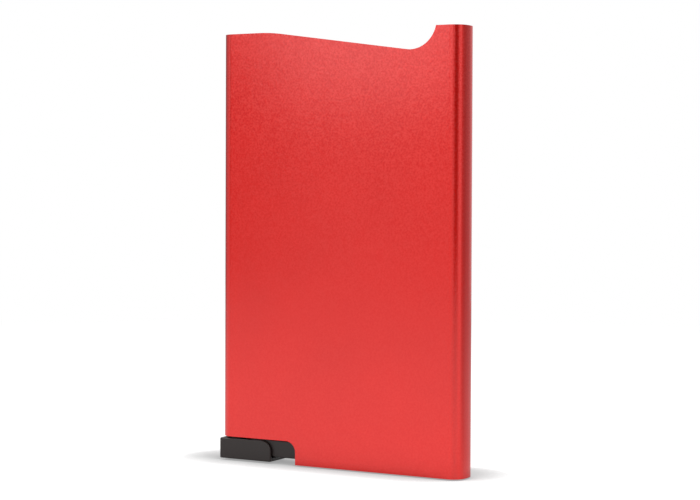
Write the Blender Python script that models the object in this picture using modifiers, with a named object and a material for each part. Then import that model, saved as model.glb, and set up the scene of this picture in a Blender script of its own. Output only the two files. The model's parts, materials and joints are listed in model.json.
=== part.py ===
"""Pocket card holder: an aluminium sleeve whose thumb slider fans the cards out of its mouth.

Metres, +Z up. X runs across the broad face, Y through the thickness with the front at -Y.
The origin is the middle of the footprint, on the surface that the holder stands on.
"""

import math

import bmesh
import bpy
from mathutils import Matrix, Vector

# The cards that the holder is made for, and how many it carries.
CARD_WIDTH = 0.0540
CARD_LENGTH = 0.0856
CARD_THICKNESS = 0.00076
CARD_COUNT = 5

# Clearances between pieces.
BOND_GAP = 0.00015
RUNNING_GAP = 0.0002
STOP_GAP = 0.0004
REST_GAP = 0.0003

# Moulded pieces: the small break that a mould leaves on a square edge.
MOULD_EDGE_BREAK = 0.00015

# Sleeve: an extruded flat tube, cut square, with a thumb scoop and a slider recess.
WALL = 0.0012
CASE_EDGE_RADIUS = 0.0030
STACK_ROOM = 0.0006
RIM_ABOVE_CARDS = 0.0012
SCOOP_RADIUS = 0.0065
SCOOP_CENTRE_RISE = 0.0014
SCOOP_FROM_RIGHT = 0.0127
RAMP_LENGTH = 0.0365
SHOULDER_RADIUS = 0.0420
RECESS_LENGTH = 0.0208
RECESS_RADIUS = 0.0025
SLEEVE_CORNER_RADIUS = 0.0012
SLEEVE_EDGE_BREAK = 0.00015

# Friction pads: felt, bonded inside the two broad walls near the mouth.
PAD_WIDTH = 0.0360
PAD_HEIGHT = 0.0120
PAD_THICKNESS = 0.00045
PAD_RADIUS = 0.0020
PAD_FROM_RIM = 0.0160

# Side rails: they centre the cards and grip their edges with sprung leaves.
RAIL_THICKNESS = 0.0029
RAIL_CARD_GAP = 0.00025
RAIL_FROM_RIM = 0.0080
RAIL_LEAD_IN = 0.0012
TENON_THICKNESS = 0.0014
TENON_WIDTH = 0.0024
TENON_DEPTH = 0.0037
LEAF_LENGTH = 0.0160
LEAF_THICKNESS = 0.0007
LEAF_WIDTH = 0.0024
LEAF_SLOT = 0.0004
LEAF_SETBACK = 0.0001
BUMP_HEIGHT = 0.0002
BUMP_RADIUS = 0.0008
BUMP_SPREAD = 60
LEAF_CENTRE_SHARES = (0.24, 0.70)

# Thumb slider: a channel that wraps the foot of the base cap, closed at its outer end.
SLIDER_LENGTH = 0.01405
SLIDER_TOP = 0.0050
SLIDER_UNDERSIDE = 0.00015
SLIDER_WEB = 0.00085
SLIDER_END_WALL = 0.0012
SLIDER_EDGE_RADIUS = 0.0003

# The slider's two barbed prongs, which hold it to the foot and drive the lever.
FORK_INSET = 0.0083
FORK_CLEARANCE = 0.00015
PRONG_THICKNESS = 0.0012
PRONG_HEIGHT = 0.0025
PRONG_SIDE_GAP = 0.00025
BARB_REACH = 0.0005
BARB_TAPER = 0.0006
BARB_HEIGHT = 0.0005
BARB_UNDERCUT = 0.0001

# Lift lever: a hub with a drive tongue below it and a stepped arm, one finger for each card.
PIVOT_HEIGHT = 0.0104
HUB_RADIUS = 0.0025
TONGUE_WIDTH = 0.0014
TONGUE_TIP_RADIUS = 0.0010
TONGUE_TIP_GAP = 0.00025
FINGER_STEP = 0.0045
FINGER_NOSE_RADIUS = 0.0015
FINGER_NOSE_DROP = 0.0003
FINGER_LAP = 0.0001

# Pivot pin, chamfered at both ends.
PIN_RADIUS = 0.0008
PIN_CHAMFER = 0.0002
PIN_END_GAP = 0.00005
PIN_SEAT_GAP = 0.00006
PIN_RUNNING_GAP = 0.0001

# Base cap: the moulded plug that closes the sleeve and carries the pin.
CAP_FLOOR = 0.0024
FOOT_CORNER_RADIUS = 0.0003
FOOT_FACE_RISE = 0.0005
FOOT_FACE_INSET = 0.0002
CHANNEL_WIDTH = 0.0030
TROUGH_WALL = 0.0006
TROUGH_FILLET = 0.0008
EAR_REACH = 0.0055
EAR_RISE = 0.0028
EAR_RADIUS = 0.0012
BLOCK_LENGTH = 0.0107
BLOCK_WEB = 0.0010
FINGER_END_GAP = 0.0015
RIB_COUNT = 4
RIB_THICKNESS = 0.0010
RIB_HEIGHT = 0.0022

# Drawing values: cutters run past what they cut by OVERRUN, joined solids lap by LAP.
OVERRUN = 0.0020
LAP = 0.0004
WELD = 0.000001
ROUND_STEPS = 8
SCOOP_STEPS = 14
SLIDER_EDGE_STEPS = 3
CYLINDER_SIDES = 32
SMOOTH_ANGLE = math.radians(35)
EDGE_ANGLE = math.radians(60)
FLAT_ANGLE = math.radians(0.1)
X_AXIS = (1, 0, 0)
Y_AXIS = (0, 1, 0)

# The case follows from the cards inside it, and its pieces from the case.
STACK_DEPTH = CARD_COUNT * CARD_THICKNESS + STACK_ROOM
LEDGE_HEIGHT = PIVOT_HEIGHT + EAR_RISE
RAIL_FACE = CARD_WIDTH / 2 + RAIL_CARD_GAP
CAP_HALF_WIDTH = RAIL_FACE + RAIL_THICKNESS
CAP_HALF_DEPTH = STACK_DEPTH / 2 + PAD_THICKNESS
CASE_WIDTH = 2 * (CAP_HALF_WIDTH + BOND_GAP + WALL)
CASE_DEPTH = 2 * (CAP_HALF_DEPTH + BOND_GAP + WALL)
CASE_HEIGHT = LEDGE_HEIGHT + CARD_LENGTH + RIM_ABOVE_CARDS
LEFT = -CASE_WIDTH / 2
RIGHT = CASE_WIDTH / 2
RAIL_TOP = CASE_HEIGHT - RAIL_FROM_RIM
RAIL_FOOT = LEDGE_HEIGHT + RUNNING_GAP
TENON_CENTRE = RAIL_FACE + RAIL_THICKNESS / 2
RECESS_HEIGHT = SLIDER_TOP + STOP_GAP
RECESS_RIGHT = LEFT + RECESS_LENGTH
TRAVEL = RECESS_LENGTH - SLIDER_LENGTH - STOP_GAP
SLIDER_RIGHT = LEFT + SLIDER_LENGTH
WEB_TOP = SLIDER_UNDERSIDE + SLIDER_WEB
FORK_X = LEFT + FORK_INSET
FORK_GAP = 2 * (TONGUE_TIP_RADIUS + FORK_CLEARANCE)
PRONG_TOP = WEB_TOP + PRONG_HEIGHT
PRONG_HALF_WIDTH = CHANNEL_WIDTH / 2 - PRONG_SIDE_GAP
BARB_HALF_WIDTH = PRONG_HALF_WIDTH + BARB_REACH
PIVOT_X = FORK_X + TRAVEL / 2
TONGUE_LENGTH = PIVOT_HEIGHT - WEB_TOP - TONGUE_TIP_GAP - TONGUE_TIP_RADIUS
FOOT_UNDERSIDE = WEB_TOP + RUNNING_GAP
FOOT_LEFT = LEFT + SLIDER_END_WALL + TRAVEL + STOP_GAP
FOOT_HALF_DEPTH = CAP_HALF_DEPTH + FOOT_FACE_RISE
CHANNEL_RIGHT = FORK_X + FORK_GAP / 2 + PRONG_THICKNESS + TRAVEL + STOP_GAP
TROUGH_TOP = RECESS_HEIGHT + TROUGH_WALL
BAY_LEFT = PIVOT_X - EAR_REACH
EAR_RIGHT = PIVOT_X + EAR_REACH
BLOCK_LEFT = CAP_HALF_WIDTH - BLOCK_LENGTH
ARM_TOP = LEDGE_HEIGHT - STOP_GAP
ARM_UNDERSIDE = TROUGH_TOP + REST_GAP
ROOT_X = PIVOT_X + math.hypot(EAR_REACH, EAR_RISE) + REST_GAP
FINGER_LONGEST = BLOCK_LEFT - FINGER_END_GAP - PIVOT_X


def clear_scene():
    for item in list(bpy.data.objects):
        bpy.data.objects.remove(item)


def arc(across, up, radius, start, end, steps=ROUND_STEPS):
    """Points along an arc, its angles in degrees from the first axis of the outline."""
    turns = [math.radians(start + (end - start) * step / steps) for step in range(steps + 1)]
    return [(across + radius * math.cos(turn), up + radius * math.sin(turn)) for turn in turns]


def rounded(corners):
    """An outline through corners given as (across, up, radius), each turned with its own radius."""
    outline = []
    for index, (across, up, radius) in enumerate(corners):
        here = Vector((across, up))
        if not radius:
            outline.append((across, up))
            continue
        before = (Vector(corners[index - 1][:2]) - here).normalized()
        after = (Vector(corners[(index + 1) % len(corners)][:2]) - here).normalized()
        half_angle = before.angle(after) / 2
        start = here + before * radius / math.tan(half_angle)
        centre = here + (before + after).normalized() * radius / math.sin(half_angle)
        sweep = math.pi - 2 * half_angle
        turn = sweep if before.x * after.y - before.y * after.x < 0 else -sweep
        for step in range(ROUND_STEPS + 1):
            spoke = (start - centre).copy()
            spoke.rotate(Matrix.Rotation(turn * step / ROUND_STEPS, 2))
            outline.append(tuple(centre + spoke))
    return outline


def rounded_box(low_across, low_up, high_across, high_up, radius):
    """A rectangle's outline with one radius on its four corners."""
    return rounded([
        (low_across, low_up, radius),
        (high_across, low_up, radius),
        (high_across, high_up, radius),
        (low_across, high_up, radius),
    ])


def prism(name, outlines, low, high, plane):
    """A solid of constant section. The first outline is its edge, and any others are holes.

    A "plan" outline lies in X and Y and runs along Z, a "side" outline lies in X and Z and
    runs along Y, and an "end" outline lies in Y and Z and runs along X, from low to high.
    """
    curve = bpy.data.curves.new(name, "CURVE")
    curve.dimensions = "2D"
    curve.fill_mode = "BOTH"
    curve.extrude = (high - low) / 2
    for outline in outlines:
        spline = curve.splines.new("POLY")
        spline.points.add(len(outline) - 1)
        for point, (across, up) in zip(spline.points, outline):
            point.co = (across, up, 0, 1)
        spline.use_cyclic_u = True
    guide = bpy.data.objects.new(name, curve)
    bpy.context.scene.collection.objects.link(guide)
    middle = (low + high) / 2
    if plane == "plan":
        guide.location = (0, 0, middle)
    elif plane == "side":
        guide.rotation_euler = (math.pi / 2, 0, 0)
        guide.location = (0, middle, 0)
    else:
        guide.rotation_euler = (math.pi / 2, 0, math.pi / 2)
        guide.location = (middle, 0, 0)
    bpy.context.view_layer.update()
    graph = bpy.context.evaluated_depsgraph_get()
    mesh = bpy.data.meshes.new_from_object(guide.evaluated_get(graph))
    shape = bmesh.new()
    shape.from_mesh(mesh)
    bmesh.ops.remove_doubles(shape, verts=shape.verts, dist=WELD)
    bmesh.ops.dissolve_limit(shape, angle_limit=FLAT_ANGLE, verts=shape.verts, edges=shape.edges)
    bmesh.ops.recalc_face_normals(shape, faces=shape.faces)
    shape.to_mesh(mesh)
    shape.free()
    solid = bpy.data.objects.new(name, mesh)
    solid.matrix_world = guide.matrix_world.copy()
    bpy.context.scene.collection.objects.link(solid)
    bpy.data.objects.remove(guide)
    return solid


def block(name, low, high):
    """A box between two corners."""
    low, high = Vector(low), Vector(high)
    bpy.ops.mesh.primitive_cube_add(size=1, location=(low + high) / 2)
    solid = bpy.context.object
    solid.name = name
    solid.data.transform(Matrix.Diagonal((*(high - low), 1)))
    return solid


def cylinder(name, x, z, radius, half_length):
    """A round bar along Y, centred on the middle plane."""
    bpy.ops.mesh.primitive_cylinder_add(
        vertices=CYLINDER_SIDES,
        radius=radius,
        depth=2 * half_length,
        location=(x, 0, z),
        rotation=(math.pi / 2, 0, 0),
    )
    solid = bpy.context.object
    solid.name = name
    return solid


def applied(piece):
    """Bakes the piece's modifiers into its mesh."""
    bpy.context.view_layer.update()
    graph = bpy.context.evaluated_depsgraph_get()
    mesh = bpy.data.meshes.new_from_object(piece.evaluated_get(graph))
    piece.modifiers.clear()
    piece.data = mesh
    return piece


def combine(piece, tools, operation):
    """Joins the tools to the piece, cuts them from it or keeps what they share."""
    for tool in tools:
        modifier = piece.modifiers.new(tool.name, "BOOLEAN")
        modifier.operation = operation
        modifier.solver = "EXACT"
        modifier.object = tool
    applied(piece)
    for tool in tools:
        bpy.data.objects.remove(tool)
    return piece


def softened(piece, width, segments):
    """Breaks the piece's square edges, and leaves the facets of its round faces alone."""
    modifier = piece.modifiers.new("edge", "BEVEL")
    modifier.width = width
    modifier.segments = segments
    modifier.limit_method = "ANGLE"
    modifier.angle_limit = EDGE_ANGLE
    return applied(piece)


def material(name, colour, roughness, metallic):
    made = bpy.data.materials.new(name)
    made.use_nodes = True
    shader = made.node_tree.nodes["Principled BSDF"]
    shader.inputs["Base Color"].default_value = (*colour, 1)
    shader.inputs["Roughness"].default_value = roughness
    shader.inputs["Metallic"].default_value = metallic
    made.diffuse_color = (*colour, 1)
    return made


def finish(piece, name, finish_material, parent, collection, origin=(0, 0, 0)):
    """Names the piece, puts its origin on its joint, and hands it to its collection."""
    world = piece.matrix_world.copy()
    piece.data.transform(Matrix.Translation(-Vector(origin)) @ world)
    piece.matrix_world = Matrix.Identity(4)
    piece.name = name
    piece.data.name = name
    piece.data.shade_smooth()
    piece.data.set_sharp_from_angle(angle=SMOOTH_ANGLE)
    piece.data.materials.clear()
    piece.data.materials.append(finish_material)
    for holder in list(piece.users_collection):
        holder.objects.unlink(piece)
    collection.objects.link(piece)
    piece.parent = parent
    return piece


def case_side_outline():
    """The sleeve seen from the front: square-cut, with the recess below and the scoop above."""
    left = LEFT - OVERRUN
    right = RIGHT + OVERRUN
    centre = Vector((RIGHT - SCOOP_FROM_RIGHT, CASE_HEIGHT + SCOOP_CENTRE_RISE))
    shoulder = Vector((centre.x - RAMP_LENGTH, CASE_HEIGHT))
    to_centre = centre - shoulder
    slope = math.atan2(to_centre.y, to_centre.x) - math.asin(SCOOP_RADIUS / to_centre.length)
    ramp_end = -90 + math.degrees(slope)
    rim_end = -math.degrees(math.asin(SCOOP_CENTRE_RISE / SCOOP_RADIUS))
    blend = SHOULDER_RADIUS * math.tan(-slope / 2)
    corner = SLEEVE_CORNER_RADIUS
    outline = [(left, RECESS_HEIGHT + corner)]
    outline += arc(LEFT + corner, RECESS_HEIGHT + corner, corner, 180, 270)
    outline += arc(RECESS_RIGHT - RECESS_RADIUS, RECESS_HEIGHT - RECESS_RADIUS, RECESS_RADIUS, 90, 0)
    outline += [(RECESS_RIGHT, 0), (right, 0), (right, CASE_HEIGHT)]
    outline += arc(*centre, SCOOP_RADIUS, rim_end, ramp_end, SCOOP_STEPS)
    shoulder_centre = (shoulder.x - blend, CASE_HEIGHT - SHOULDER_RADIUS)
    outline += arc(*shoulder_centre, SHOULDER_RADIUS, 90 + math.degrees(slope), 90)
    outline.append((left, CASE_HEIGHT))
    return outline


def case_plan_outline(inset):
    """The extrusion's section, drawn in by inset from its outer face."""
    half_width = CASE_WIDTH / 2 - inset
    half_depth = CASE_DEPTH / 2 - inset
    radius = CASE_EDGE_RADIUS - inset
    return rounded_box(-half_width, -half_depth, half_width, half_depth, radius)


def make_sleeve():
    """The extruded tube, kept only where it lies inside its side outline."""
    section = [case_plan_outline(0), case_plan_outline(WALL)]
    tube = prism("tube", section, -OVERRUN, CASE_HEIGHT + OVERRUN, "plan")
    half_depth = CASE_DEPTH / 2 + OVERRUN
    side = prism("side", [case_side_outline()], -half_depth, half_depth, "side")
    return softened(combine(tube, [side], "INTERSECT"), SLEEVE_EDGE_BREAK, 1)


def plug(top, bottom):
    """What fills the sleeve's bore with a bonding gap all round, from bottom to top."""
    return prism("plug", [case_plan_outline(WALL + BOND_GAP)], bottom, top, "plan")


def foot_face_outline():
    """The foot's raised faces, which fill the recess inside its edge and guide the slider."""
    left = FOOT_LEFT + FOOT_FACE_INSET
    right = RECESS_RIGHT - BOND_GAP
    low = FOOT_UNDERSIDE + FOOT_FACE_INSET
    high = RECESS_HEIGHT - BOND_GAP
    return rounded([
        (left, low, 0),
        (right, low, 0),
        (right, high, RECESS_RADIUS - BOND_GAP),
        (left, high, 0),
    ])


def make_base_cap():
    """The plug: pivot ears on the left, a ribbed trough under the arm, a block on the right."""
    left = -CAP_HALF_WIDTH - OVERRUN
    right = CAP_HALF_WIDTH + OVERRUN
    side = rounded([
        (left, RECESS_HEIGHT, 0),
        (FOOT_LEFT, RECESS_HEIGHT, 0),
        (FOOT_LEFT, FOOT_UNDERSIDE, FOOT_CORNER_RADIUS),
        (RECESS_RIGHT, FOOT_UNDERSIDE, 0),
        (RECESS_RIGHT, 0, 0),
        (right, 0, 0),
        (right, LEDGE_HEIGHT, 0),
        (BLOCK_LEFT, LEDGE_HEIGHT, EAR_RADIUS),
        (BLOCK_LEFT, TROUGH_TOP, TROUGH_FILLET),
        (EAR_RIGHT, TROUGH_TOP, TROUGH_FILLET),
        (EAR_RIGHT, LEDGE_HEIGHT, EAR_RADIUS),
        (left, LEDGE_HEIGHT, 0),
    ])
    half_depth = CAP_HALF_DEPTH + OVERRUN
    cap = plug(LEDGE_HEIGHT + OVERRUN, -OVERRUN)
    combine(cap, [prism("cap_side", [side], -half_depth, half_depth, "side")], "INTERSECT")
    softened(cap, MOULD_EDGE_BREAK, 1)
    foot = prism("foot", [foot_face_outline()], -FOOT_HALF_DEPTH, FOOT_HALF_DEPTH, "side")
    combine(cap, [softened(foot, MOULD_EDGE_BREAK, 1)], "UNION")

    half_channel = CHANNEL_WIDTH / 2
    trough_right = BLOCK_LEFT - BLOCK_WEB
    high = LEDGE_HEIGHT + OVERRUN
    channel = [
        (BAY_LEFT, -OVERRUN),
        (CHANNEL_RIGHT, -OVERRUN),
        (CHANNEL_RIGHT, CAP_FLOOR),
        (trough_right, CAP_FLOOR),
        (trough_right, high),
        (BAY_LEFT, high),
    ]
    groove = BARB_HALF_WIDTH + RUNNING_GAP
    groove_low = PRONG_TOP - BARB_HEIGHT - BARB_UNDERCUT - RUNNING_GAP
    core_left = BLOCK_LEFT + BLOCK_WEB
    core_right = RAIL_FACE - BLOCK_WEB
    tools = [
        prism("channel", [channel], -half_channel, half_channel, "side"),
        block("barb_groove", (FOOT_LEFT - OVERRUN, -groove, groove_low),
              (CHANNEL_RIGHT, groove, PRONG_TOP + RUNNING_GAP)),
        block("core", (core_left, -half_channel, CAP_FLOOR), (core_right, half_channel, high)),
        cylinder("pin_hole", PIVOT_X, PIVOT_HEIGHT, PIN_RADIUS + PIN_SEAT_GAP, half_depth),
    ]
    half_mortise = TENON_THICKNESS / 2 + BOND_GAP
    half_mortise_width = TENON_WIDTH / 2 + BOND_GAP
    for side_sign in (-1, 1):
        centre = side_sign * TENON_CENTRE
        tools.append(block(
            "mortise",
            (centre - half_mortise, -half_mortise_width, LEDGE_HEIGHT - TENON_DEPTH - REST_GAP),
            (centre + half_mortise, half_mortise_width, high),
        ))
    combine(cap, tools, "DIFFERENCE")

    ribs = []
    spacing = (trough_right - CHANNEL_RIGHT) / (RIB_COUNT + 1)
    for number in range(1, RIB_COUNT + 1):
        rib_left = CHANNEL_RIGHT + number * spacing - RIB_THICKNESS / 2
        ribs.append(block(
            "rib",
            (rib_left, -half_channel - LAP, CAP_FLOOR - LAP),
            (rib_left + RIB_THICKNESS, half_channel + LAP, CAP_FLOOR + RIB_HEIGHT),
        ))
    return combine(cap, ribs, "UNION")


def make_slider():
    """The channel with its closed outer end, and the barbed fork that drives the lever."""
    half_depth = CASE_DEPTH / 2
    side = rounded([
        (LEFT, SLIDER_UNDERSIDE, 0),
        (SLIDER_RIGHT, SLIDER_UNDERSIDE, 0),
        (SLIDER_RIGHT, SLIDER_TOP, RECESS_RADIUS),
        (LEFT, SLIDER_TOP, 0),
    ])
    slider = prism("slider", [side], -half_depth, half_depth, "side")
    softened(slider, SLIDER_EDGE_RADIUS, SLIDER_EDGE_STEPS)

    half_inner = FOOT_HALF_DEPTH + RUNNING_GAP
    hollow = block(
        "hollow",
        (LEFT + SLIDER_END_WALL, -half_inner, WEB_TOP),
        (SLIDER_RIGHT + OVERRUN, half_inner, SLIDER_TOP + OVERRUN),
    )
    combine(slider, [hollow], "DIFFERENCE")

    prong = [
        (PRONG_HALF_WIDTH, WEB_TOP - LAP),
        (PRONG_HALF_WIDTH, PRONG_TOP - BARB_HEIGHT),
        (BARB_HALF_WIDTH, PRONG_TOP - BARB_HEIGHT - BARB_UNDERCUT),
        (BARB_HALF_WIDTH - BARB_TAPER, PRONG_TOP),
    ]
    prong += [(-across, up) for across, up in reversed(prong)]
    starts = (FORK_X - FORK_GAP / 2 - PRONG_THICKNESS, FORK_X + FORK_GAP / 2)
    prongs = [prism("prong", [prong], start, start + PRONG_THICKNESS, "end") for start in starts]
    return combine(slider, prongs, "UNION")


def finger_outline(length):
    """One finger from its root to its round nose, length being its reach from the pivot."""
    nose_x = PIVOT_X + length - FINGER_NOSE_RADIUS
    nose_z = ARM_TOP - FINGER_NOSE_DROP - FINGER_NOSE_RADIUS
    return [(ROOT_X, ARM_TOP), (ROOT_X, ARM_UNDERSIDE)] + arc(
        nose_x, nose_z, FINGER_NOSE_RADIUS, -90, 90
    )


def make_lever():
    """Hub, drive tongue and the stack of fingers, longest at the rear so that the fan shows."""
    half_hub = CHANNEL_WIDTH / 2 - RUNNING_GAP
    swing = math.asin(TRAVEL / 2 / TONGUE_LENGTH)
    pivot = Vector((PIVOT_X, PIVOT_HEIGHT))
    along = Vector((-math.sin(swing), -math.cos(swing)))
    across = Vector((along.y, -along.x)) * TONGUE_WIDTH / 2
    tip = pivot + along * TONGUE_LENGTH
    tongue = [tuple(corner) for corner in (pivot + across, pivot - across, tip - across, tip + across)]
    neck = [
        (PIVOT_X, PIVOT_HEIGHT - HUB_RADIUS + LAP),
        (ROOT_X + LAP, ARM_UNDERSIDE + LAP),
        (ROOT_X + LAP, ARM_TOP - LAP),
        (PIVOT_X, PIVOT_HEIGHT + HUB_RADIUS - LAP),
    ]
    lever = cylinder("lever", PIVOT_X, PIVOT_HEIGHT, HUB_RADIUS, half_hub)
    tools = [
        prism("tongue", [tongue], -half_hub + LAP / 2, half_hub - LAP / 2, "side"),
        cylinder("tip", tip.x, tip.y, TONGUE_TIP_RADIUS, half_hub - LAP / 4),
        prism("neck", [neck], -half_hub + LAP / 4, half_hub - LAP / 4, "side"),
    ]
    pitch = STACK_DEPTH / CARD_COUNT
    for number in range(CARD_COUNT):
        finger = prism(
            "finger",
            [finger_outline(FINGER_LONGEST - number * FINGER_STEP)],
            STACK_DEPTH / 2 - (number + 1) * pitch,
            STACK_DEPTH / 2 - number * FINGER_LAP,
            "side",
        )
        tools.append(softened(finger, MOULD_EDGE_BREAK, 1))
    combine(lever, tools, "UNION")
    bore = cylinder("bore", PIVOT_X, PIVOT_HEIGHT, PIN_RADIUS + PIN_RUNNING_GAP, CASE_DEPTH)
    return combine(lever, [bore], "DIFFERENCE")


def make_pin():
    """A plain pin, which the base cap's two ears hold at its ends."""
    pin = cylinder("pin", PIVOT_X, PIVOT_HEIGHT, PIN_RADIUS, CAP_HALF_DEPTH - PIN_END_GAP)
    return softened(pin, PIN_CHAMFER, 1)


def make_rail():
    """The right rail: a D-shaped strip in the sleeve's round edge, tenoned into the cap."""
    outer = CAP_HALF_WIDTH + OVERRUN
    half_depth = CAP_HALF_DEPTH + OVERRUN
    side = [
        (RAIL_FACE, RAIL_FOOT),
        (outer, RAIL_FOOT),
        (outer, RAIL_TOP),
        (RAIL_FACE + RAIL_LEAD_IN, RAIL_TOP),
        (RAIL_FACE, RAIL_TOP - 2 * RAIL_LEAD_IN),
    ]
    rail = plug(RAIL_TOP + OVERRUN, RAIL_FOOT - OVERRUN)
    combine(rail, [prism("rail_side", [side], -half_depth, half_depth, "side")], "INTERSECT")
    softened(rail, MOULD_EDGE_BREAK, 1)

    leaf_face = RAIL_FACE + LEAF_SETBACK
    bump_x = RAIL_FACE - BUMP_HEIGHT + BUMP_RADIUS
    half_leaf = LEAF_WIDTH / 2
    half_window = half_leaf + LEAF_SLOT
    windows, additions = [], []
    for share in LEAF_CENTRE_SHARES:
        low = RAIL_FOOT + share * (RAIL_TOP - RAIL_FOOT) - LEAF_LENGTH / 2
        free_end = low + LEAF_LENGTH
        windows.append(block(
            "window",
            (RAIL_FACE - OVERRUN, -half_window, low),
            (outer, half_window, free_end + 2 * LEAF_SLOT),
        ))
        additions.append(block(
            "leaf",
            (leaf_face, -half_leaf, low - LAP),
            (leaf_face + LEAF_THICKNESS, half_leaf, free_end),
        ))
        bump = arc(bump_x, free_end - 2 * BUMP_RADIUS, BUMP_RADIUS, 180 - BUMP_SPREAD, 180 + BUMP_SPREAD)
        additions.append(prism("bump", [bump], -half_leaf + LAP / 2, half_leaf - LAP / 2, "side"))
    combine(rail, windows, "DIFFERENCE")

    additions.append(block(
        "tenon",
        (TENON_CENTRE - TENON_THICKNESS / 2, -TENON_WIDTH / 2, LEDGE_HEIGHT - TENON_DEPTH),
        (TENON_CENTRE + TENON_THICKNESS / 2, TENON_WIDTH / 2, RAIL_FOOT + LAP),
    ))
    return combine(rail, additions, "UNION")


def mirrored(piece, axis):
    """The same piece turned into its mirror image across the plane square to an axis."""
    piece.data.transform(Matrix.Scale(-1, 4, axis) @ piece.matrix_world)
    piece.matrix_world = Matrix.Identity(4)
    piece.data.flip_normals()
    return piece


def make_pad():
    """The rear felt pad, bonded to its broad wall."""
    high = CASE_HEIGHT - PAD_FROM_RIM
    outline = rounded_box(-PAD_WIDTH / 2, high - PAD_HEIGHT, PAD_WIDTH / 2, high, PAD_RADIUS)
    return prism("pad", [outline], STACK_DEPTH / 2, CAP_HALF_DEPTH, "side")


def axis_marker(name, location, parent, collection):
    marker = bpy.data.objects.new(name, None)
    marker.empty_display_size = HUB_RADIUS
    marker.location = location
    marker.parent = parent
    collection.objects.link(marker)
    return marker


def main():
    clear_scene()
    collection = bpy.data.collections.new("card_holder")
    bpy.context.scene.collection.children.link(collection)
    red = material("red_anodised_aluminium", (0.72, 0.045, 0.040), 0.38, 1.0)
    black = material("black_moulded_plastic", (0.050, 0.044, 0.041), 0.55, 0.0)
    steel = material("steel", (0.62, 0.62, 0.63), 0.30, 1.0)
    felt = material("grey_felt", (0.075, 0.075, 0.080), 0.95, 0.0)

    holder = axis_marker("holder", (0, 0, 0), None, collection)
    slider_axis = axis_marker("slider_axis", (0, 0, 0), holder, collection)
    pivot = (PIVOT_X, 0, PIVOT_HEIGHT)
    lever_axis = axis_marker("lever_axis", pivot, holder, collection)

    finish(make_sleeve(), "sleeve", red, holder, collection)
    finish(make_base_cap(), "base_cap", black, holder, collection)
    finish(make_slider(), "thumb_slider", black, slider_axis, collection)
    finish(make_lever(), "lift_lever", black, lever_axis, collection, pivot)
    finish(make_pin(), "pivot_pin", steel, holder, collection)
    finish(make_rail(), "side_rail_right", black, holder, collection)
    finish(mirrored(make_rail(), X_AXIS), "side_rail_left", black, holder, collection)
    finish(make_pad(), "friction_pad_rear", felt, holder, collection)
    finish(mirrored(make_pad(), Y_AXIS), "friction_pad_front", felt, holder, collection)


main()
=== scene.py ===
"""Looks of the pocket card holder: its finishes, fine sleeve and felt pads, the studio and camera.

Metres and degrees, +Z up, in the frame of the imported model: X across the broad face, front at -Y.
"""

import json
import math

import bmesh
import bpy
from mathutils import Matrix, Vector, noise


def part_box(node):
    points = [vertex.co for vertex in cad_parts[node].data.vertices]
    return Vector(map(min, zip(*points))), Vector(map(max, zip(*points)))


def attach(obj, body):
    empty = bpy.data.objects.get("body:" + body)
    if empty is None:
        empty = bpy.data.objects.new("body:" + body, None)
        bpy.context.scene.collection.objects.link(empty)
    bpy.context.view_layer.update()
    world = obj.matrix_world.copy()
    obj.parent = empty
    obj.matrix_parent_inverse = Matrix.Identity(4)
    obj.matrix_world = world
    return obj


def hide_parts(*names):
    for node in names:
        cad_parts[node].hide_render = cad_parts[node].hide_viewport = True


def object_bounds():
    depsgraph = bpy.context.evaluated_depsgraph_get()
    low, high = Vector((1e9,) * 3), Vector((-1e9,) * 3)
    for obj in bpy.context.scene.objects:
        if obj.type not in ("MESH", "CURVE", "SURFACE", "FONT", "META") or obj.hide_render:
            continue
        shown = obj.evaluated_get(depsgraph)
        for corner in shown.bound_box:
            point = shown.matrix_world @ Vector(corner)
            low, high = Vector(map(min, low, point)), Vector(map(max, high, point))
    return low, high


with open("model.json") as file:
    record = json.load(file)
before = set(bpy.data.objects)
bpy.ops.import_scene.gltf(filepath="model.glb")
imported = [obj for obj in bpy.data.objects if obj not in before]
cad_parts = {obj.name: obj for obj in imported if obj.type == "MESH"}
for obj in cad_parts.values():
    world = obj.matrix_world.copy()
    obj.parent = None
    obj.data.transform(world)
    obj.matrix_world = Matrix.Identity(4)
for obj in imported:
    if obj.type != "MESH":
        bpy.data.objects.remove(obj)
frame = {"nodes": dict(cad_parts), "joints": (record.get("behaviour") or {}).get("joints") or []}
cad_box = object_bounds()

# Camera, fitted to the photograph's outline of the case.
CAMERA_PLACE = (0.20232, -0.35695, 0.06434)
CAMERA_YAW = 29.377
CAMERA_PITCH = 1.046
CAMERA_ROLL = 0.221
LENS_MM = 92.03
LENS_SHIFT = -0.0437
SENSOR_MM = 36.0
CLIP_NEAR = 0.01
CLIP_FAR = 20.0

# Room. Azimuths run from the front towards +X, and level 1 shows as white.
WHITE = 1.0
ROOM = (
    # azimuth, level of the wall there
    (-180.0, 0.95), (-168.0, 0.70), (-150.0, 0.12), (-135.0, 0.15), (-118.0, 0.26),
    (-100.0, 0.40), (-84.0, 0.57), (-70.0, 0.70), (-54.0, 0.67), (-44.0, 0.42),
    (-38.0, 0.27), (10.0, 0.25), (34.0, 0.08), (48.0, 0.08), (66.0, 1.05),
    (80.0, 1.05), (94.0, 0.40), (124.0, 0.36), (150.0, 0.46), (168.0, 0.80), (180.0, 0.95),
)

# A strip low on the wall, which adds its level up to one elevation and fades out by the next.
LOW_STRIP = (
    # azimuth, level that the strip adds there
    (-42.0, 0.0), (-35.5, 0.08), (-32.7, 0.26), (-29.7, 0.70), (-26.6, 0.42), (-22.0, 0.42),
    (12.0, 0.50), (30.0, 0.0),
)
LOW_STRIP_FULL = 1.0
LOW_STRIP_GONE = 7.0

# The ceiling, which brightens from one elevation to the next.
CEILING_LEVEL = 0.45
CEILING_FROM = 12.0
CEILING_FULL = 60.0

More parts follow.
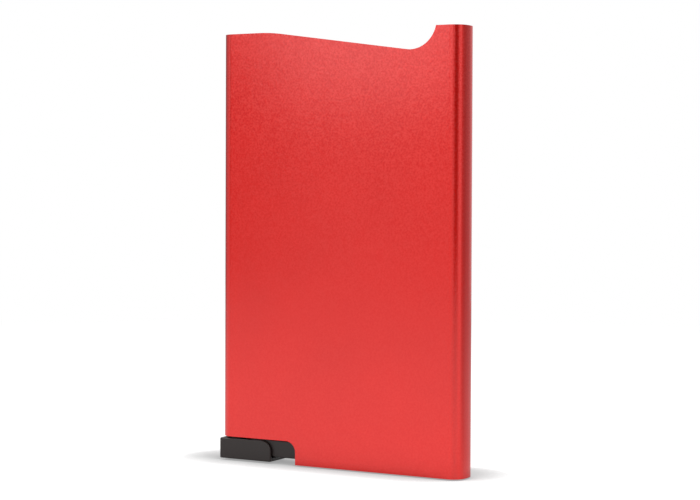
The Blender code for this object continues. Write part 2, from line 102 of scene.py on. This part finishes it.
# Floor: it takes light around the case, and blends into plain white between near and far.
FLOOR_SIZE = 1.2
FLOOR_DROP = 0.0003
FLOOR_COLOUR = (0.15, 0.15, 0.15)
FLOOR_NEAR = 0.15
FLOOR_FAR = 0.45

# Painted shade: reflections see the floor behind the case darker. It turns within this depth of the
# middle.
MIRRORED_PAINTED_SHADE = 0.55
MIRRORED_TURN = 0.03

# The case's soft shadow: a spot of the floor glows less, the less of the open it sees.
SHADE_REACH = 0.013
SHADE_AZIMUTH = 40.0
SHADE_ELEVATION = 40.0
SHADE_SAMPLES = 16
SHADE = (
    # share of the open that the spot sees, its glow
    (0.0, 0.30), (0.55, 0.37), (0.80, 0.50), (0.90, 0.61), (0.947, 0.72), (0.98, 0.86), (1.0, 1.00),
)

# Softboxes, and the watts for each square metre of one at brightness 1.
LAMP_POWER = 4.0
LAMPS = (
    # name, azimuth, elevation, distance, width, height, brightness
    ("key_softbox", -6, 23, 1.10, 1.38, 0.62, 0.69),
    ("key_core", -28.3, 8.2, 1.05, 0.16, 0.14, 1.12),
    ("key_strip", -6.5, 6.6, 1.05, 0.50, 0.09, 0.75),
    ("left_strip", -55, 9.0, 1.05, 0.42, 0.18, 0.30),
    ("left_softbox", -92, 48, 1.20, 1.00, 0.70, 3.20),
    ("right_softbox", 92, 48, 1.20, 1.00, 0.70, 3.20),
)

# Sleeve, with the sizes that its box doesn't give.
WALL = 0.0012
CASE_EDGE_RADIUS = 0.0030
SIDE_CROWN = 9.0
SCOOP_RADIUS = 0.0065
SCOOP_CENTRE_RISE = 0.0014
SCOOP_FROM_RIGHT = 0.0127
RAMP_LENGTH = 0.0365
SHOULDER_RADIUS = 0.0420
RECESS_RADIUS = 0.0025
SLEEVE_CORNER_RADIUS = 0.0012
STOP_GAP = 0.0004
EDGE_BREAK = 0.00010
EDGE_STEPS = 3
EDGE_ANGLE = 60.0

# Felt pads. Rim, base, crown and fuzz are shares of a pad's thickness, and lumps are per metre.
PAD_CELLS_ACROSS = 120
PAD_CELLS_UP = 40
PAD_RADIUS = 0.0020
PAD_RIM = 0.8
PAD_BASE = 0.45
PAD_CROWN = 0.43
PAD_FUZZ = 0.10
PAD_LUMPS = (5200, 1400)
PAD_SHARP_ANGLE = 50.0

# Drawing values: cutters run past what they cut by OVERRUN, and points within WELD are one.
OVERRUN = 0.0020
WELD = 0.000001
FLAT_ANGLE = 0.1
ROUND_STEPS = 24
CROWN_STEPS = 8

# Finishes. A swing is how far a value goes to each side of its middle, and a depth is the bump's.
# Nearly all values of a noise lie within NOISE_SPREAD.
NOISE_SPREAD = (0.3, 0.7)

# Anodised skin: its grain, real at all heights, is painted stronger between two heights as the sparkle
# of highlights on the upper part, and its specks add a pale tint of painted glints.
GRAIN_DETAIL = 1.6
GRAIN_AND_PAINTED_SPARKLE_STRENGTH = (0.22, 1.0)
PAINTED_SPARKLE_HEIGHTS = (0.035, 0.085)
PAINTED_GLINT_TINT = (0.0, 0.016, 0.015)
DYE_CLOUD_SIZE = 0.018
DYE_CLOUD_SWING = 0.025
SKIN_ROUGHNESS_SWING = 0.04
SKIN_SPECULAR_TINT = (0.95, 0.35, 0.33, 1)
SKIN_COAT_ROUGHNESS = 0.12
SKIN_COAT_IOR = 1.5
RED_FACE = {
    "colour": (0.75, 0.0138, 0.0093),
    "roughness": 0.36,
    "grain_size": 0.00043,
    "grain_depth": 0.000012,
    "grain_contrast": 0.085,
}
RED_EDGE = {
    "colour": (0.85, 0.050, 0.045),
    "roughness": 0.30,
    "grain_size": 0.00030,
    "grain_depth": 0.000006,
    "grain_contrast": 0.05,
}

# Milled ends of the sleeve.
RED_CUT = {"colour": (0.78, 0.030, 0.027), "roughness": 0.32}
TOOL_LINE_SIZE = 0.00012
TOOL_LINE_STRETCH = (1.0, 0.04, 1.0)
TOOL_LINE_SWING = 0.1
TOOL_LINE_DEPTH = 0.000006
CUT_ROUGHNESS_SWING = 0.06
CUT_COAT = 0.6
CUT_COAT_ROUGHNESS = 0.25

# Moulded plastic.
BLACK = {"colour": (0.0215, 0.0135, 0.0118), "roughness": 0.46}
MOULD_TEXTURE_SIZE = 0.00022
MOULD_TEXTURE_SWING = 0.14
MOULD_TEXTURE_DEPTH = 0.000010
MOULD_CLOUD_SIZE = 0.006
MOULD_CLOUD_SWING = 0.08
MOULD_ROUGHNESS_SWING = 0.04

# Drawn steel.
STEEL = {"colour": (0.56, 0.56, 0.57), "roughness": 0.30}
DRAW_LINE_SIZE = 0.00008
DRAW_LINE_STRETCH = (1.0, 0.03, 1.0)
DRAW_LINE_SWING = 0.12
DRAW_LINE_DEPTH = 0.000003
STEEL_ROUGHNESS_SWING = 0.08

# Pressed felt: its fibres lie both ways, and go from a dark level to a pale one.
FELT = {"colour": (0.075, 0.075, 0.080), "roughness": 0.95}
FIBRE_SIZE = 0.00010
FIBRE_WAYS = ((0.16, 1.0, 1.0), (1.0, 1.0, 0.16))
FIBRE_SPREAD = (0.4, 0.75)
FIBRE_LEVELS = (0.55, 1.5)
FIBRE_DEPTH = 0.00006
MOTTLE_SIZE = 0.0009
MOTTLE_SWING = 0.2
FELT_SHEEN = 0.5
FELT_SHEEN_ROUGHNESS = 0.5


def feed(tree, made, values):
    """Sets a node's inputs by name or number, each to a value or to the socket that feeds it."""
    for name, value in values.items():
        if isinstance(value, bpy.types.NodeSocket):
            tree.links.new(value, made.inputs[name])
        else:
            made.inputs[name].default_value = value


def node(tree, kind, values=None, **settings):
    """Adds a node with its settings, and feeds its inputs."""
    made = tree.nodes.new(kind)
    for name, value in settings.items():
        setattr(made, name, value)
    feed(tree, made, values or {})
    return made


def maths(tree, operation, *values):
    """The result of one operation on values or sockets."""
    return node(tree, "ShaderNodeMath", dict(enumerate(values)), operation=operation).outputs[0]


def grain(tree, place, size, detail=2.0, roughness=0.5):
    """Noise from 0 to 1 whose lumps are about size metres across."""
    values = {"Vector": place, "Scale": 1 / size, "Detail": detail, "Roughness": roughness}
    return node(tree, "ShaderNodeTexNoise", values).outputs["Fac"]


def between(tree, factor, low, high, from_low=0.0, from_high=1.0, curve="LINEAR"):
    """The factor's range from from_low to from_high, turned into low to high."""
    limits = {"From Min": from_low, "From Max": from_high, "To Min": low, "To Max": high}
    values = {"Value": factor, **limits}
    return node(tree, "ShaderNodeMapRange", values, interpolation_type=curve).outputs["Result"]


def around(tree, factor, middle, swing, from_low=0.0, from_high=1.0):
    """The factor's range from from_low to from_high, turned into middle - swing to middle + swing."""
    return between(tree, factor, middle - swing, middle + swing, from_low, from_high)


def tinted(tree, colour, level):
    """A colour made lighter or darker by a level around 1."""
    return node(tree, "ShaderNodeVectorMath", {0: colour, "Scale": level}, operation="SCALE").outputs[0]


def stretched(tree, place, factors):
    """Coordinates drawn out along the axes whose factors are small."""
    return node(tree, "ShaderNodeMapping", {"Vector": place, "Scale": factors}).outputs["Vector"]


def new_material(name):
    """A material, its node tree, its shader and its object coordinates."""
    made = bpy.data.materials.new(name)
    made.use_nodes = True
    tree = made.node_tree
    place = node(tree, "ShaderNodeTexCoord").outputs["Object"]
    return made, tree, tree.nodes["Principled BSDF"], place


def bumped(tree, shader, height, depth, *inputs):
    """Raises the surface, and a clear coat that is named too, by depth metres where height is 1."""
    values = {"Height": height, "Distance": depth, "Strength": 1.0}
    normal = node(tree, "ShaderNodeBump", values).outputs["Normal"]
    feed(tree, shader, {name: normal for name in inputs or ("Normal",)})


def anodised(name, colour, roughness, grain_size, grain_depth, grain_contrast):
    """Dyed anodised aluminium: metal under a clear hard layer, with a blasted grain of specks, and
    painted glints in their pale tint and in their rise with height.
    """
    made, tree, shader, place = new_material(name)
    blast = grain(tree, place, grain_size, GRAIN_DETAIL)
    cloud = grain(tree, place, DYE_CLOUD_SIZE)
    height = node(tree, "ShaderNodeSeparateXYZ", {0: place}).outputs["Z"]
    # Painted sparkle: the grain grows stronger between two heights, standing for highlights that glint
    # on the upper part.
    painted_sparkle_by_height = between(tree, height, *GRAIN_AND_PAINTED_SPARKLE_STRENGTH, *PAINTED_SPARKLE_HEIGHTS)
    grain_and_painted_glint = maths(tree, "MULTIPLY", around(tree, blast, 0.0, 1.0, *NOISE_SPREAD), painted_sparkle_by_height)
    level = maths(
        tree, "MULTIPLY",
        maths(tree, "MULTIPLY_ADD", grain_and_painted_glint, grain_contrast, 1.0),
        around(tree, cloud, 1.0, DYE_CLOUD_SWING, *NOISE_SPREAD),
    )
    # Painted glints: each speck adds or takes away a pale tint in the base colour.
    parts = {0: tinted(tree, colour, level), 1: tinted(tree, PAINTED_GLINT_TINT, grain_and_painted_glint)}
    feed(tree, shader, {
        "Base Color": node(tree, "ShaderNodeVectorMath", parts, operation="ADD").outputs[0],
        "Roughness": around(tree, blast, roughness, -SKIN_ROUGHNESS_SWING, *NOISE_SPREAD),
        "Metallic": 1.0,
        "Specular Tint": SKIN_SPECULAR_TINT,
        "Coat Weight": 1.0,
        "Coat Roughness": SKIN_COAT_ROUGHNESS,
        "Coat IOR": SKIN_COAT_IOR,
    })
    bumped(tree, shader, blast, grain_depth, "Normal", "Coat Normal")
    return made


def milled(name, colour, roughness):
    """The anodised cut ends: fine tool lines across the wall under the same dye."""
    made, tree, shader, place = new_material(name)
    lines = grain(tree, stretched(tree, place, TOOL_LINE_STRETCH), TOOL_LINE_SIZE, roughness=0.6)
    level = around(tree, lines, 1.0, TOOL_LINE_SWING, *NOISE_SPREAD)
    feed(tree, shader, {
        "Base Color": tinted(tree, colour, level),
        "Roughness": around(tree, lines, roughness, -CUT_ROUGHNESS_SWING),
        "Metallic": 1.0,
        "Coat Weight": CUT_COAT,
        "Coat Roughness": CUT_COAT_ROUGHNESS,
    })
    bumped(tree, shader, lines, TOOL_LINE_DEPTH)
    return made


def moulded(name, colour, roughness):
    """Black moulded plastic with a fine spark-eroded texture and faint flow clouds."""
    made, tree, shader, place = new_material(name)
    texture = grain(tree, place, MOULD_TEXTURE_SIZE, detail=3.0, roughness=0.6)
    cloud = grain(tree, place, MOULD_CLOUD_SIZE, detail=3.0)
    level = maths(
        tree, "MULTIPLY",
        around(tree, texture, 1.0, MOULD_TEXTURE_SWING, *NOISE_SPREAD),
        around(tree, cloud, 1.0, MOULD_CLOUD_SWING, *NOISE_SPREAD),
    )
    feed(tree, shader, {
        "Base Color": tinted(tree, colour, level),
        "Roughness": around(tree, cloud, roughness, MOULD_ROUGHNESS_SWING),
    })
    bumped(tree, shader, texture, MOULD_TEXTURE_DEPTH)
    return made


def drawn_steel(name, colour, roughness):
    """A drawn steel pin: fine lines along its length."""
    made, tree, shader, place = new_material(name)
    lines = grain(tree, stretched(tree, place, DRAW_LINE_STRETCH), DRAW_LINE_SIZE, roughness=0.6)
    feed(tree, shader, {
        "Base Color": tinted(tree, colour, around(tree, lines, 1.0, DRAW_LINE_SWING)),
        "Roughness": around(tree, lines, roughness, STEEL_ROUGHNESS_SWING),
        "Metallic": 1.0,
    })
    bumped(tree, shader, lines, DRAW_LINE_DEPTH)
    return made


def pressed_felt(name, colour, roughness):
    """Pressed felt: short fibres that lie both ways, with lighter and darker ones mixed."""
    made, tree, shader, place = new_material(name)
    fibres = maths(tree, "MAXIMUM", *(
        grain(tree, stretched(tree, place, way), FIBRE_SIZE, roughness=0.6) for way in FIBRE_WAYS
    ))
    mottle = grain(tree, place, MOTTLE_SIZE, detail=3.0, roughness=0.6)
    level = maths(
        tree, "MULTIPLY",
        between(tree, fibres, *FIBRE_LEVELS, *FIBRE_SPREAD),
        around(tree, mottle, 1.0, MOTTLE_SWING, *NOISE_SPREAD),
    )
    feed(tree, shader, {
        "Base Color": tinted(tree, colour, level),
        "Roughness": roughness,
        "Sheen Weight": FELT_SHEEN,
        "Sheen Roughness": FELT_SHEEN_ROUGHNESS,
    })
    bumped(tree, shader, fibres, FIBRE_DEPTH)
    return made


def arc(across, up, radius, start, end, steps=ROUND_STEPS):
    """Points along an arc, its angles in degrees from the first axis of the outline."""
    turns = [math.radians(start + (end - start) * step / steps) for step in range(steps + 1)]
    return [(across + radius * math.cos(turn), up + radius * math.sin(turn)) for turn in turns]


def case_section(half_width, half_depth, radius):
    """The tube's outline about the middle: round corners, and short sides with a slight crown."""
    crown = math.radians(SIDE_CROWN)
    crown_radius = (half_depth - radius) / math.sin(crown) + radius
    side = half_width - crown_radius
    corner = (side + (crown_radius - radius) * math.cos(crown), half_depth - radius)
    quarter = arc(side, 0, crown_radius, 0, SIDE_CROWN, CROWN_STEPS)
    quarter += arc(*corner, radius, SIDE_CROWN, 90)[1:]
    upper = quarter + [(-across, up) for across, up in reversed(quarter)]
    return upper + [(across, -up) for across, up in reversed(upper)][1:-1]


def prism(name, outlines, low, high, turn):
    """A solid of constant section from low to high along Z, then turned about X by turn radians."""
    curve = bpy.data.curves.new(name, "CURVE")
    curve.dimensions = "2D"
    curve.fill_mode = "BOTH"
    curve.extrude = (high - low) / 2
    for outline in outlines:
        spline = curve.splines.new("POLY")
        spline.points.add(len(outline) - 1)
        for point, (across, up) in zip(spline.points, outline):
            point.co = (across, up, 0, 1)
        spline.use_cyclic_u = True
    guide = bpy.data.objects.new(name, curve)
    bpy.context.scene.collection.objects.link(guide)
    bpy.context.view_layer.update()
    mesh = bpy.data.meshes.new_from_object(guide.evaluated_get(bpy.context.evaluated_depsgraph_get()))
    shape = bmesh.new()
    shape.from_mesh(mesh)
    bmesh.ops.remove_doubles(shape, verts=shape.verts, dist=WELD)
    flat = math.radians(FLAT_ANGLE)
    bmesh.ops.dissolve_limit(shape, angle_limit=flat, verts=shape.verts, edges=shape.edges)
    bmesh.ops.translate(shape, vec=(0, 0, (low + high) / 2), verts=shape.verts)
    bmesh.ops.rotate(shape, matrix=Matrix.Rotation(turn, 3, "X"), verts=shape.verts)
    bmesh.ops.recalc_face_normals(shape, faces=shape.faces)
    shape.to_mesh(mesh)
    shape.free()
    bpy.data.objects.remove(guide)
    solid = bpy.data.objects.new(name, mesh)
    bpy.context.scene.collection.objects.link(solid)
    return solid


def apply_modifiers(piece):
    """Bakes the piece's modifiers into its mesh."""
    bpy.context.view_layer.update()
    graph = bpy.context.evaluated_depsgraph_get()
    mesh = bpy.data.meshes.new_from_object(piece.evaluated_get(graph))
    piece.modifiers.clear()
    piece.data = mesh


def level_faces(piece):
    """Keeps the flat faces flat in the smooth shading."""
    level = piece.modifiers.new("level_faces", "WEIGHTED_NORMAL")
    level.keep_sharp = True


def break_edges(piece, finish):
    """Rounds the square edges, in a finish of their own."""
    piece.data.materials.append(finish)
    edge = piece.modifiers.new("edge", "BEVEL")
    edge.width = EDGE_BREAK
    edge.segments = EDGE_STEPS
    edge.limit_method = "ANGLE"
    edge.angle_limit = math.radians(EDGE_ANGLE)
    edge.material = len(piece.data.materials) - 1


def sleeve_side(low, high):
    """The sleeve seen from the front: square-cut, with the recess below and the scoop above."""
    slider_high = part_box("thumb_slider")[1]
    travel = max(joint["range_m"][1] for joint in frame["joints"] if "range_m" in joint)
    recess_height = slider_high.z + STOP_GAP
    recess_right = slider_high.x + travel + STOP_GAP
    left = low.x - OVERRUN
    right = high.x + OVERRUN
    centre = Vector((high.x - SCOOP_FROM_RIGHT, high.z + SCOOP_CENTRE_RISE))
    shoulder = Vector((centre.x - RAMP_LENGTH, high.z))
    to_centre = centre - shoulder
    slope = math.atan2(to_centre.y, to_centre.x) - math.asin(SCOOP_RADIUS / to_centre.length)
    ramp_end = -90 + math.degrees(slope)
    rim_end = -math.degrees(math.asin(SCOOP_CENTRE_RISE / SCOOP_RADIUS))
    blend = SHOULDER_RADIUS * math.tan(-slope / 2)
    corner = SLEEVE_CORNER_RADIUS
    recess_centre = (recess_right - RECESS_RADIUS, recess_height - RECESS_RADIUS)
    shoulder_centre = (shoulder.x - blend, high.z - SHOULDER_RADIUS)
    return (
        [(left, recess_height + corner)]
        + arc(low.x + corner, recess_height + corner, corner, 180, 270)
        + arc(*recess_centre, RECESS_RADIUS, 90, 0)
        + [(recess_right, low.z), (right, low.z), (right, high.z)]
        + arc(*centre, SCOOP_RADIUS, rim_end, ramp_end)
        + arc(*shoulder_centre, SHOULDER_RADIUS, 90 + math.degrees(slope), 90)
        + [(left, high.z)]
    )


def make_sleeve(face, cut, edge):
    """The extruded tube with its cut ends and broken edges, finer than the solid."""
    low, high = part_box("sleeve")
    sections = [
        case_section(high.x - inset, high.y - inset, CASE_EDGE_RADIUS - inset) for inset in (0, WALL)
    ]
    sleeve = prism("red_sleeve", sections, low.z - OVERRUN, high.z + OVERRUN, 0)
    sleeve.data.materials.append(face)
    depth = high.y + OVERRUN
    side = prism("sleeve_side", [sleeve_side(low, high)], -depth, depth, math.pi / 2)
    side.data.materials.append(cut)
    keep = sleeve.modifiers.new("side", "BOOLEAN")
    keep.operation = "INTERSECT"
    keep.solver = "EXACT"
    keep.material_mode = "TRANSFER"
    keep.object = side
    apply_modifiers(sleeve)
    bpy.data.objects.remove(side)
    sleeve.data.shade_smooth()
    break_edges(sleeve, edge)
    level_faces(sleeve)
    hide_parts("sleeve")
    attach(sleeve, "case")


def rounded_place(across, up, half_width, half_height):
    """A point of a rectangle about the middle, drawn into its outline with round corners."""
    inner_width = half_width - PAD_RADIUS
    inner_height = half_height - PAD_RADIUS
    over_across = abs(across) - inner_width
    over_up = abs(up) - inner_height
    if over_across > 0 and over_up > 0:
        draw = max(over_across, over_up) / math.hypot(over_across, over_up)
        across = math.copysign(inner_width + over_across * draw, across)
        up = math.copysign(inner_height + over_up * draw, up)
    return across, up


def make_felt_pad(name, replaced, finish):
    """A felt pad: flat where it is bonded, with a soft fibrous face and rounded edges."""
    low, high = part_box(replaced)
    thickness = high.y - low.y
    bonded, inward = (high.y, -1) if low.y > 0 else (low.y, 1)
    centre = (low + high) / 2
    half_width = (high.x - low.x) / 2
    half_height = (high.z - low.z) / 2
    mesh = bmesh.new()

    rows = {}
    for layer in (0, 1):
        for i in range(PAD_CELLS_ACROSS + 1):
            for j in range(PAD_CELLS_UP + 1):
                u, v = 2 * i / PAD_CELLS_ACROSS - 1, 2 * j / PAD_CELLS_UP - 1
                x, z = rounded_place(u * half_width, v * half_height, half_width, half_height)
                rim = min(1.0, (1 - max(abs(u), abs(v))) * half_height / (thickness * PAD_RIM))
                crown = math.sqrt(max(0.0, 1 - (1 - rim) ** 2))
                place = Vector((centre.x + x, 0, centre.z + z))
                fuzz = sum(noise.noise(place * lumps) for lumps in PAD_LUMPS) / len(PAD_LUMPS)
                height = thickness * (PAD_BASE + PAD_CROWN * crown + PAD_FUZZ * fuzz * crown)
                place.y = bonded + inward * height * layer
                rows[layer, i, j] = mesh.verts.new(place)
    for i in range(PAD_CELLS_ACROSS):
        for j in range(PAD_CELLS_UP):
            for layer in (0, 1):
                corners = ((i, j), (i + 1, j), (i + 1, j + 1), (i, j + 1))
                mesh.faces.new([rows[layer, *corner] for corner in corners])
    ring = (
        [(i, 0) for i in range(PAD_CELLS_ACROSS)]
        + [(PAD_CELLS_ACROSS, j) for j in range(PAD_CELLS_UP)]
        + [(i, PAD_CELLS_UP) for i in range(PAD_CELLS_ACROSS, 0, -1)]
        + [(0, j) for j in range(PAD_CELLS_UP, 0, -1)]
    )
    for here, there in zip(ring, ring[1:] + ring[:1]):
        mesh.faces.new([rows[0, *here], rows[0, *there], rows[1, *there], rows[1, *here]])
    bmesh.ops.recalc_face_normals(mesh, faces=mesh.faces)

    data = bpy.data.meshes.new(name)
    mesh.to_mesh(data)
    mesh.free()
    data.shade_smooth()
    data.set_sharp_from_angle(angle=math.radians(PAD_SHARP_ANGLE))
    data.materials.append(finish)
    pad = bpy.data.objects.new(name, data)
    bpy.context.scene.collection.objects.link(pad)
    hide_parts(replaced)
    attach(pad, "case")


def dress(name, finish):
    """Gives a carried-over solid its finish, and the shading of moulded or turned work."""
    piece = frame["nodes"][name]
    piece.data.materials.clear()
    piece.data.materials.append(finish)
    weld = piece.modifiers.new("weld", "WELD")
    weld.merge_threshold = WELD
    piece.data.shade_smooth()
    level_faces(piece)


def direction(azimuth, elevation):
    """The unit vector towards an azimuth from the front and an elevation, in degrees."""
    turn, rise = math.radians(azimuth), math.radians(elevation)
    return Vector((math.sin(turn) * math.cos(rise), -math.cos(turn) * math.cos(rise), math.sin(rise)))


def make_lamp(name, azimuth, elevation, distance, width, height, brightness):
    """A softbox that faces the middle of the case."""
    middle = (cad_box[0] + cad_box[1]) / 2
    towards = direction(azimuth, elevation)
    light = bpy.data.lights.new(name, "AREA")
    light.shape = "RECTANGLE"
    light.size = width
    light.size_y = height
    light.energy = brightness * LAMP_POWER * width * height
    lamp = bpy.data.objects.new(name, light)
    lamp.location = middle + towards * distance
    lamp.rotation_euler = towards.to_track_quat("Z", "Y").to_euler()
    lamp.visible_camera = False
    bpy.context.scene.collection.objects.link(lamp)


def level_ramp(tree, factor, levels):
    """A smooth curve through (place from 0 to 1, level) pairs."""
    ramp = node(tree, "ShaderNodeValToRGB", {"Fac": factor})
    ramp.color_ramp.interpolation = "EASE"
    stops = ramp.color_ramp.elements
    while len(stops) < len(levels):
        stops.new(1.0)
    for stop, (place, level) in zip(stops, levels):
        stop.position = place
        stop.color = (level, level, level, 1)
    return ramp.outputs["Color"]


def eased(tree, rise, low, high, from_elevation, to_elevation):
    """A smooth step from low to high between two elevations, rise being a unit vector's Z."""
    limits = (math.sin(math.radians(limit)) for limit in (from_elevation, to_elevation))
    return between(tree, rise, low, high, *limits, curve="SMOOTHSTEP")


def make_world():
    """White to the camera and through glass, and to all else a plain room with a lit wall."""
    world = bpy.data.worlds.new("studio")
    bpy.context.scene.world = world
    world.use_nodes = True
    tree = world.node_tree
    tree.nodes.clear()
    ray = node(tree, "ShaderNodeLightPath").outputs
    way = node(tree, "ShaderNodeTexCoord").outputs["Generated"]
    split = node(tree, "ShaderNodeSeparateXYZ", {0: way}).outputs
    back = maths(tree, "MULTIPLY", split["Y"], -1.0)
    azimuth = maths(tree, "ARCTAN2", split["X"], back)
    turn = between(tree, azimuth, 0.0, 1.0, -math.pi, math.pi)
    wall, strip = (
        level_ramp(tree, turn, [((angle + 180) / 360, level) for angle, level in levels])
        for levels in (ROOM, LOW_STRIP)
    )
    strip_share = eased(tree, split["Z"], 1.0, 0.0, LOW_STRIP_FULL, LOW_STRIP_GONE)
    wall = maths(tree, "ADD", wall, maths(tree, "MULTIPLY", strip, strip_share))
    ceiling = eased(tree, split["Z"], 0.0, CEILING_LEVEL, CEILING_FROM, CEILING_FULL)
    room = maths(tree, "MAXIMUM", wall, ceiling)
    seen = maths(tree, "MAXIMUM", ray["Is Camera Ray"], ray["Is Transmission Ray"])
    level = maths(tree, "MAXIMUM", room, maths(tree, "MULTIPLY", seen, WHITE))
    background = node(tree, "ShaderNodeBackground", {"Color": (1, 1, 1, 1), "Strength": level})
    node(tree, "ShaderNodeOutputWorld", {"Surface": background.outputs[0]})


def make_floor():
    """A white floor that keeps the case's shadow, and glows to the camera and in reflections."""
    bpy.ops.mesh.primitive_plane_add(size=FLOOR_SIZE, location=(0, 0, -FLOOR_DROP))
    floor = bpy.context.object
    floor.name = "studio_floor"
    made = bpy.data.materials.new("white_floor")
    made.use_nodes = True
    tree = made.node_tree
    tree.nodes.clear()
    ray = node(tree, "ShaderNodeLightPath").outputs
    place = node(tree, "ShaderNodeTexCoord").outputs["Object"]
    away = node(tree, "ShaderNodeVectorMath", {0: place}, operation="LENGTH").outputs["Value"]
    depth = node(tree, "ShaderNodeSeparateXYZ", {0: place}).outputs["Y"]

    seen = maths(tree, "MAXIMUM", ray["Is Camera Ray"], ray["Is Glossy Ray"])
    seen = maths(tree, "MAXIMUM", seen, ray["Is Transmission Ray"])
    # Painted shade: in reflections the floor behind the case glows less.
    painted_shade_behind = between(tree, depth, 1.0, MIRRORED_PAINTED_SHADE, -MIRRORED_TURN, MIRRORED_TURN)
    seen = maths(tree, "MULTIPLY", seen, maths(tree, "MAXIMUM", painted_shade_behind, ray["Is Camera Ray"]))

    towards = direction(SHADE_AZIMUTH, SHADE_ELEVATION)
    lean = node(tree, "ShaderNodeCombineXYZ", dict(enumerate(towards))).outputs[0]
    reach = {"Distance": SHADE_REACH, "Normal": lean}
    open_share = node(tree, "ShaderNodeAmbientOcclusion", reach, samples=SHADE_SAMPLES).outputs["AO"]
    glow = maths(tree, "MULTIPLY", seen, level_ramp(tree, open_share, SHADE))

    paint = node(tree, "ShaderNodeBsdfDiffuse", {"Color": (*FLOOR_COLOUR, 1)}).outputs[0]
    shaded = node(tree, "ShaderNodeEmission", {"Strength": glow}).outputs[0]
    near = node(tree, "ShaderNodeAddShader", {0: paint, 1: shaded}).outputs[0]
    plain = maths(tree, "MULTIPLY", seen, WHITE)
    far = node(tree, "ShaderNodeEmission", {"Strength": plain}).outputs[0]
    share = between(tree, away, 0.0, 1.0, FLOOR_NEAR, FLOOR_FAR)
    both = node(tree, "ShaderNodeMixShader", {0: share, 1: near, 2: far}).outputs[0]
    node(tree, "ShaderNodeOutputMaterial", {"Surface": both})
    floor.data.materials.append(made)


def make_camera():
    """The camera where the photograph's stood, with a shift that is only its framing."""
    data = bpy.data.cameras.new("photo_camera")
    data.lens = LENS_MM
    data.sensor_width = SENSOR_MM
    data.shift_y = LENS_SHIFT
    data.clip_start = CLIP_NEAR
    data.clip_end = CLIP_FAR
    camera = bpy.data.objects.new("photo_camera", data)
    camera.location = CAMERA_PLACE
    turns = ((CAMERA_YAW, "Z"), (90 - CAMERA_PITCH, "X"), (CAMERA_ROLL, "Z"))
    yaw, pitch, roll = (Matrix.Rotation(math.radians(angle), 3, axis) for angle, axis in turns)
    camera.rotation_euler = (yaw @ pitch @ roll).to_euler()
    bpy.context.scene.collection.objects.link(camera)
    bpy.context.scene.camera = camera


make_camera()
make_world()
make_floor()
for lamp in LAMPS:
    make_lamp(*lamp)

red_face = anodised("red_anodised_face", **RED_FACE)
red_cut = milled("red_anodised_cut", **RED_CUT)
red_edge = anodised("red_anodised_edge", **RED_EDGE)
black = moulded("black_moulded_plastic", **BLACK)
steel = drawn_steel("drawn_steel", **STEEL)
felt = pressed_felt("grey_felt", **FELT)

make_sleeve(red_face, red_cut, red_edge)
make_felt_pad("felt_pad_front", "friction_pad_front", felt)
make_felt_pad("felt_pad_rear", "friction_pad_rear", felt)
for part in ("base_cap", "thumb_slider", "lift_lever", "side_rail_left", "side_rail_right"):
    dress(part, black)
dress("pivot_pin", steel)

bpy.context.scene.view_settings.view_transform = "Standard"
